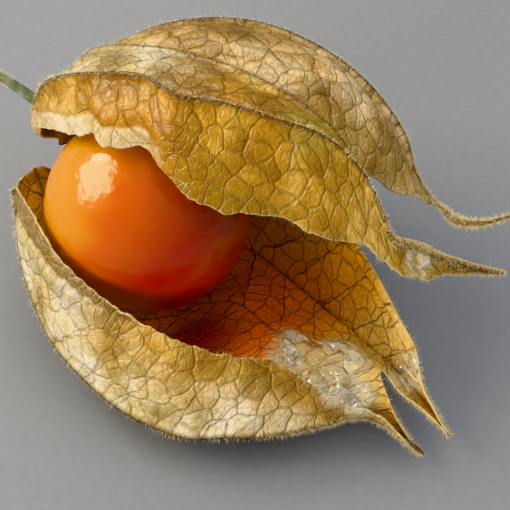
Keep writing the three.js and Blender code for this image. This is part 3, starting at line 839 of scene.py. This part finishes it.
husk.data.materials.clear()
husk.data.materials.append(husk_material("dry husk tissue, outer face", inside=False))
husk.data.materials.append(husk_material("dry husk tissue, inner face", inside=True))
outer_count = len(husk.data.vertices)
bpy.ops.object.modifier_apply(modifier="paper thickness")

# The underside is pressed flat on what it rests on.
points = vertex_values(husk.data)
outer_heights = points[:outer_count, 2]
outer_heights[outer_heights < PAPER * MM] = 0
points[outer_count:, 2] = np.maximum(points[outer_count:, 2], PAPER * MM)
husk.data.vertices.foreach_set("co", points.ravel())
bpy.ops.object.shade_smooth()
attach(husk, "root")
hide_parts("husk")


# ---------------------------------------------------------------- hairs on the husk
# Fine pale hairs that grow from the keels and ribs, thickest towards the tips, each a small
# tapering bristle rooted in the tissue.
HAIR_COUNT = 16000
HAIR_RADIUS = 0.016
HAIR_LENGTH = (0.25, 0.6)
HAIR_TILT = 0.45  # how far the hairs lean from upright, at random
ROOT_SCATTER = 0.12
ROOT_DEPTH = 0.08


def hair_piece(name, roots, directions, lengths, radius, seed):
    """One mesh of bent three-sided bristles in mm, all copies of one modelled bristle."""
    select_none()
    bpy.ops.mesh.primitive_cone_add(
        vertices=3, radius1=1, radius2=0, depth=2, end_fill_type="NOTHING",
        location=(0, 0, 1), rotation=(0, 0, -math.pi / 2))
    bristle = bpy.context.object
    bpy.ops.object.transform_apply()
    bpy.ops.object.mode_set(mode="EDIT")
    bpy.ops.mesh.select_all(action="SELECT")
    bpy.ops.mesh.bisect(plane_co=(0, 0, 1), plane_no=(0, 0, 1))
    bpy.ops.transform.resize(value=(1.2, 1.2, 1), center_override=(0, 0, 1))
    bpy.ops.object.mode_set(mode="OBJECT")
    shape = vertex_values(bristle.data)
    faces = [tuple(face.vertices) for face in bristle.data.polygons]
    bpy.data.objects.remove(bristle)

    draw = np.random.default_rng(seed)
    ahead = unit(directions)
    beside = unit(np.cross(ahead, unit(draw.normal(size=ahead.shape))))
    third = np.cross(ahead, beside)
    bend = draw.uniform(0, 0.35, len(roots))
    x, y, z = shape.T[:, None, :, None]
    along = z / 2
    lengths = lengths[:, None, None]
    points = (
        roots[:, None] + radius * (x * beside[:, None] + y * third[:, None])
        + lengths * (along * ahead[:, None] + along ** 2 * bend[:, None, None] * beside[:, None]))
    mesh = bpy.data.meshes.new(name)
    firsts = range(0, len(roots) * len(shape), len(shape))
    copies = [tuple(first + i for i in face) for first in firsts for face in faces]
    mesh.from_pydata((points.reshape(-1, 3) * MM).tolist(), [], copies)
    mesh.shade_smooth()
    piece = bpy.data.objects.new(name, mesh)
    bpy.context.collection.objects.link(piece)
    return piece


# They stand on the ribs and keels, and on the free margins near the tips, denser there.
positions = vertex_values(husk.data) / MM
normals = vertex_values(husk.data, "normal")
ridge_heights, margin_distance = np.empty((2, len(positions)))
husk.data.attributes["ridge"].data.foreach_get("value", ridge_heights)
husk.data.attributes["margin"].data.foreach_get("value", margin_distance)
draw = np.random.default_rng(21)
on_margin = 0.16 * (margin_distance < 0.3) * (positions[:, 0] > 12)
bearing_height = np.where(ridge_heights > 0.14, ridge_heights, on_margin)
on_outer_face = np.arange(len(positions)) < outer_count
clear_of_ground = positions[:, 2] > 0.6
bearing = np.where((bearing_height > 0) & on_outer_face & clear_of_ground)[0]
chance = bearing_height[bearing] * (1 + 1.2 * (positions[bearing, 0] > 20))
rooted = draw.choice(bearing, HAIR_COUNT, p=chance / chance.sum())
scatter = draw.uniform(-ROOT_SCATTER, ROOT_SCATTER, (HAIR_COUNT, 3))
hair_roots = positions[rooted] + scatter - normals[rooted] * ROOT_DEPTH
hair_ways = normals[rooted] + draw.normal(0, HAIR_TILT, (HAIR_COUNT, 3)) + (0.25, 0, 0)
hair_lengths = draw.uniform(*HAIR_LENGTH, HAIR_COUNT)
# Torn fibres still bridge the notch between the front lobe and the top lobe.
notch = np.array(RIBS["front_top"][1][-1])
front_edge = np.array(MARGINS["front_upper"][0]) - notch
top_edge = np.array(MARGINS["top_front"][1]) - notch
starts = np.array([notch + front_edge * v for v in (0.18, 0.26, 0.5, 0.56)])
ends = np.array([notch + top_edge * v for v in (0.55, 0.62, 0.93, 0.98)])
hair_roots = np.vstack([hair_roots, starts])
hair_ways = np.vstack([hair_ways, ends - starts])
hair_lengths = np.concatenate([hair_lengths, np.linalg.norm(ends - starts, axis=1)])
hairs = hair_piece("husk_hairs", hair_roots, hair_ways, hair_lengths, HAIR_RADIUS, seed=5)

# Dry plant hair: bleached cell walls without pigment, dull, that frost the ribs and the tips.
dry_hair, tree, output = new_material("dry plant hair")
hair_shader = add(tree, "ShaderNodeBsdfPrincipled", {
    "Base Color": linear("#D6C598"), "Roughness": 0.5})
tree.links.new(hair_shader.outputs[0], output.inputs[0])
hairs.data.materials.append(dry_hair)
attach(hairs, "root")


# ---------------------------------------------------------------- berry
# The fruit: a tight waxy skin over juicy flesh, grown round on its short receptacle.
BERRY_RADIUS = 9
DIMPLE_DEPTH = 0.7  # mm, where the berry sits on the stalk
DIMPLE_REACH = 2.0
LIGHT_BORDER_DRIFT = 6.667  # mm between two drifts of the border between painted light and painted shade
PORE = 0.7143
WAVE = 2.381  # mm between two slow waves of the skin
select_none()
bpy.ops.mesh.primitive_uv_sphere_add(segments=128, ring_count=80, radius=BERRY_RADIUS * MM)
berry = bpy.context.object
berry.name = "berry_fruit"
for vertex in berry.data.vertices:
    out = vertex.co.normalized()
    from_stalk = out.angle(Vector((0, 0, 1))) * BERRY_RADIUS
    sunk = DIMPLE_DEPTH * math.exp(-((from_stalk / DIMPLE_REACH) ** 2))
    vertex.co = out * (BERRY_RADIUS - sunk) * MM
to_stalk = Vector(COLLAR_CENTRE - BERRY_CENTRE).normalized()
berry.rotation_mode = "QUATERNION"
berry.rotation_quaternion = to_stalk.to_track_quat("Z", "Y")
berry.location = Vector(BERRY_CENTRE) * MM
bpy.ops.object.transform_apply()
bpy.ops.object.shade_smooth()

# Ripe fruit skin under its own wax. Its colour carries painted light and shade: orange on the
# side towards the key light and deep red away from it, with a border that drifts at random. Soft
# with light that has passed through the flesh, and glossy with small broken highlights from its
# waves.
skin, tree, output = new_material("waxy ripe fruit skin")
solid = add(tree, "ShaderNodeTexCoord")
from_middle = add(tree, "ShaderNodeVectorMath", {
    0: solid.outputs["Object"], 1: tuple(BERRY_CENTRE * MM)}, operation="SUBTRACT")
# Painted light: the colour follows the direction from which the key light falls.
to_key_light = add(tree, "ShaderNodeVectorMath", {
    0: from_middle.outputs[0], 1: (-0.67, -0.4, 0.62)}, operation="DOT_PRODUCT")
mottled = add(tree, "ShaderNodeTexNoise", {
    "Vector": solid.outputs["Object"], "Scale": 1 / (LIGHT_BORDER_DRIFT * MM), "Detail": 4})
drift = add(tree, "ShaderNodeMath", {0: mottled.outputs["Fac"], 1: 6 * MM}, operation="MULTIPLY")
painted_lit_side = add(tree, "ShaderNodeMath", {0: to_key_light.outputs["Value"], 1: drift.outputs[0]})
painted_lighting = add(tree, "ShaderNodeMapRange", {
    "Value": painted_lit_side.outputs[0], "From Min": -3 * MM, "From Max": 12.5 * MM})
tone = add(tree, "ShaderNodeValToRGB", {"Fac": painted_lighting.outputs[0]})
tone.color_ramp.elements[0].color = linear("#A00000")
tone.color_ramp.elements[1].color = linear("#C08200")
tone.color_ramp.elements.new(0.35).color = linear("#980C00")
tone.color_ramp.elements.new(0.7).color = linear("#AC4600")
pores = add(tree, "ShaderNodeTexVoronoi", {
    "Vector": solid.outputs["Object"], "Scale": 1 / (PORE * MM)})
pits = add(tree, "ShaderNodeBump", {
    "Height": pores.outputs["Distance"], "Strength": 0.12, "Distance": 0.04 * MM})
waves = add(tree, "ShaderNodeTexNoise", {
    "Vector": solid.outputs["Object"], "Scale": 1 / (WAVE * MM), "Detail": 3})
ripple = add(tree, "ShaderNodeBump", {
    "Height": waves.outputs["Fac"], "Strength": 0.55, "Distance": 0.4 * MM,
    "Normal": pits.outputs[0]})
flesh = add(tree, "ShaderNodeBsdfPrincipled", {
    "Base Color": tone.outputs[0], "Roughness": 0.2, "IOR": 1.57, "Specular IOR Level": 1.0,
    "Specular Tint": linear("#F8FFD0"), "Normal": ripple.outputs[0], "Subsurface Weight": 0.35,
    "Subsurface Radius": (4 * MM, MM, 0.2 * MM), "Subsurface Scale": 1.0})
tree.links.new(flesh.outputs[0], output.inputs[0])
berry.data.materials.append(skin)
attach(berry, "root")
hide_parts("berry")


# ---------------------------------------------------------------- stalk
# The fruit stalk: a thin green stem, ribbed and downy, that passes through the neck of the husk
# and spreads into the small disc that carries the berry.
STALK_RADIUS = 0.36
STALK_ROOT_RADIUS = 0.5
RECEPTACLE_RADIUS = 1.5
FIT_GAP = 0.35  # mm from the round of the berry, inside its dimple
STALK_RIDGES = 6
ROUTE_STEPS = 200
ROOT_AT = 0.76  # share of the way along, where the stalk thickens in the neck of the husk
ROOT_REACH = 0.3
DISC_FROM = 0.86  # share of the way along, where the disc starts to spread
to_berry = unit(BERRY_CENTRE - COLLAR_CENTRE)
route = spaced([
    (-25.5, -2.6, 19.6), (-21, -1.6, 18.9), COLLAR_CENTRE - 3.8 * STALK_AXIS, COLLAR_CENTRE,
    COLLAR_CENTRE + 1.5 * STALK_AXIS, BERRY_CENTRE - to_berry * (BERRY_RADIUS + FIT_GAP),
], ROUTE_STEPS)
select_none()
bpy.ops.mesh.primitive_uv_sphere_add(segments=36, ring_count=160, radius=1)
stalk = bpy.context.object
stalk.name = "fruit_stalk"
# The ball is drawn out along the route, so that both ends of the stalk are closed and round.
ball = vertex_values(stalk.data)
polar = np.arccos(np.clip(ball[:, 2], -1, 1))
turn = np.arctan2(ball[:, 1], ball[:, 0])
share = polar / math.pi
at = share * ROUTE_STEPS
steps = np.arange(ROUTE_STEPS + 1)
middle = np.stack([np.interp(at, steps, route[:, k]) for k in range(3)], axis=1)
heading = np.gradient(route, axis=0)
heading = unit(np.stack([np.interp(at, steps, heading[:, k]) for k in range(3)], axis=1))
beside = unit(np.cross(heading, np.array((0.1, 0.2, 1))))
above = np.cross(beside, heading)
root = np.maximum(0, 1 - np.abs(share - ROOT_AT) / ROOT_REACH)
disc = np.maximum(0, (share - DISC_FROM) / (1 - DISC_FROM))
radius = STALK_RADIUS + (STALK_ROOT_RADIUS - STALK_RADIUS) * root
radius += (RECEPTACLE_RADIUS - STALK_RADIUS) * disc ** 2
ribbing = 0.07 * np.cos(STALK_RIDGES * turn + 5 * share)
knots = 0.04 * np.sin(share * 53) * np.cos(turn + 2)
radius *= (1 + ribbing + knots) * np.minimum(1, np.sin(polar) * 25)
outward = np.cos(turn)[:, None] * beside + np.sin(turn)[:, None] * above
point = middle + radius[:, None] * outward
stalk.data.vertices.foreach_set("co", (point * MM).ravel())
bpy.ops.object.mode_set(mode="EDIT")
bpy.ops.mesh.select_all(action="SELECT")
bpy.ops.mesh.normals_make_consistent(inside=False)
bpy.ops.object.mode_set(mode="OBJECT")
bpy.ops.object.shade_smooth()

# Green stem gone dry: matt grey green with paler patches, and dark brown painted shade where it
# runs inside the husk.
PATCH = 1.4286  # mm between two patches
STALK_SHADE_CENTRE = (-8.9, 0.8, 13.2)
green_stem, tree, output = new_material("green plant stem")
solid = add(tree, "ShaderNodeTexCoord")
patches = add(tree, "ShaderNodeTexNoise", {
    "Vector": solid.outputs["Object"], "Scale": 1 / (PATCH * MM), "Detail": 4})
green = add(tree, "ShaderNodeValToRGB", {"Fac": patches.outputs["Fac"]})
dark_end, pale_end = green.color_ramp.elements
dark_end.position, dark_end.color = 0.35, linear("#4E543C")
pale_end.position, pale_end.color = 0.68, linear("#8C927A")
# Painted shade where the stalk runs inside the husk.
painted_stalk_shade = near(tree, solid.outputs["Object"], STALK_SHADE_CENTRE, 1.8, 4)
stem_colour = stained(tree, green.outputs["Color"], painted_stalk_shade, 1, linear("#5E3612"))
stem_bump = add(tree, "ShaderNodeBump", {
    "Height": patches.outputs["Fac"], "Strength": 0.5, "Distance": 0.1 * MM})
stem_shader = add(tree, "ShaderNodeBsdfPrincipled", {
    "Base Color": stem_colour, "Roughness": 0.6, "Normal": stem_bump.outputs[0]})
tree.links.new(stem_shader.outputs[0], output.inputs[0])
stalk.data.materials.append(green_stem)
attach(stalk, "root")
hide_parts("stalk")


# ---------------------------------------------------------------- down on the stalk
# Short pale down that grows all over the stalk outside the husk and leans back to its free end.
DOWN_COUNT = 3000
DOWN_RADIUS = 0.018
DOWN_LENGTH = (0.14, 0.36)
DOWN_TILT = 0.35
outside = np.where((share > 0.01) & (share < 0.6))[0]
rooted = draw.choice(outside, DOWN_COUNT)
down_normals = unit(point[rooted] - middle[rooted])
tilts = draw.normal(0, DOWN_TILT, (DOWN_COUNT, 3))
stalk_down = hair_piece(
    "stalk_down", point[rooted] - down_normals * 0.03,
    down_normals + tilts - heading[rooted] * 0.3,
    draw.uniform(*DOWN_LENGTH, DOWN_COUNT), DOWN_RADIUS, seed=8)
stalk_down.data.materials.append(dry_hair)
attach(stalk_down, "root")
